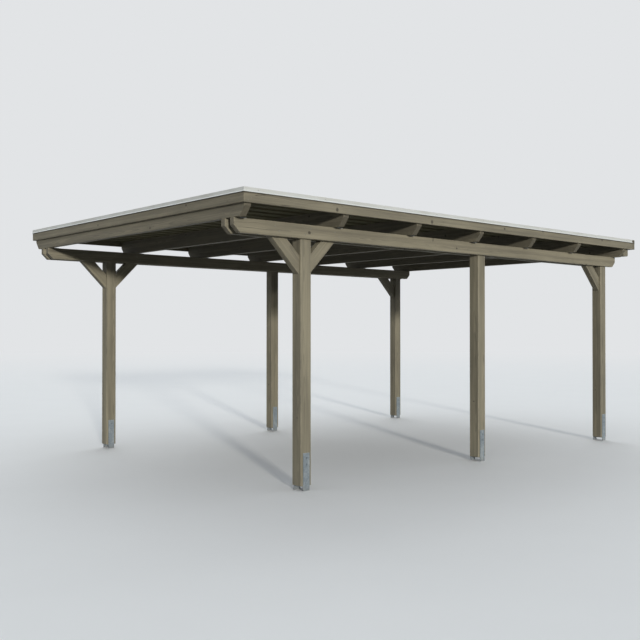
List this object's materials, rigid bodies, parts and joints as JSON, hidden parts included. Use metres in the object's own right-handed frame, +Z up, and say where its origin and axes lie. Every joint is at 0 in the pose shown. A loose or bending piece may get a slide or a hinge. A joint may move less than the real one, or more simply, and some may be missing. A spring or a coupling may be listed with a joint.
{
  "type": "carport",
  "caption": "Open timber carport for one car: square posts in steel anchors, twin-plank beams with knee braces, rafters and a flat ribbed metal roof behind fascia boards.",
  "frame": {"origin": "on the ground, in the middle of the roof's outline", "axes": "+Y along the long side, from the drive-in front at -Y to the gutter at the rear; +X to the right seen from the front; +Z up"},
  "size_m": [3.957, 6.038, 2.465],
  "materials": {
    "post_timber": "weathered grey-brown glaze",
    "beam_timber": "weathered grey-brown glaze",
    "rafter_timber": "grey-brown glaze",
    "fascia_timber": "weathered grey-brown glaze",
    "galvanised_steel": "hot-dip galvanised",
    "trim_aluminium": "satin, weathered",
    "roof_sheet": "matt coated",
    "gutter": "satin coated"
  },
  "bodies": {
    "root": {"post_front_right": "post_timber", "post_anchor_front_right": "galvanised_steel", "post_front_left": "post_timber", "post_anchor_front_left": "galvanised_steel", "post_middle_right": "post_timber", "post_anchor_middle_right": "galvanised_steel", "post_middle_left": "post_timber", "post_anchor_middle_left": "galvanised_steel", "post_rear_right": "post_timber", "post_anchor_rear_right": "galvanised_steel", "post_rear_left": "post_timber", "post_anchor_rear_left": "galvanised_steel", "beam_outer_right": "beam_timber", "beam_inner_right": "beam_timber", "brace_front_right_forward": "beam_timber", "brace_front_right_back": "beam_timber", "brace_rear_right_forward": "beam_timber", "beam_outer_left": "beam_timber", "beam_inner_left": "beam_timber", "brace_front_left_forward": "beam_timber", "brace_front_left_back": "beam_timber", "brace_rear_left_forward": "beam_timber", "rafter_1": "rafter_timber", "rafter_2": "rafter_timber", "rafter_3": "rafter_timber", "rafter_4": "rafter_timber", "rafter_5": "rafter_timber", "rafter_6": "rafter_timber", "rafter_7": "rafter_timber", "fascia_front": "fascia_timber", "fascia_rear": "fascia_timber", "fascia_left": "fascia_timber", "fascia_right": "fascia_timber", "edge_trim_front": "trim_aluminium", "edge_trim_rear": "trim_aluminium", "edge_trim_left": "trim_aluminium", "edge_trim_right": "trim_aluminium", "roof_sheet_1": "roof_sheet", "roof_sheet_2": "roof_sheet", "roof_sheet_3": "roof_sheet", "roof_sheet_4": "roof_sheet", "gutter": "gutter"}
  },
  "joints": []
}
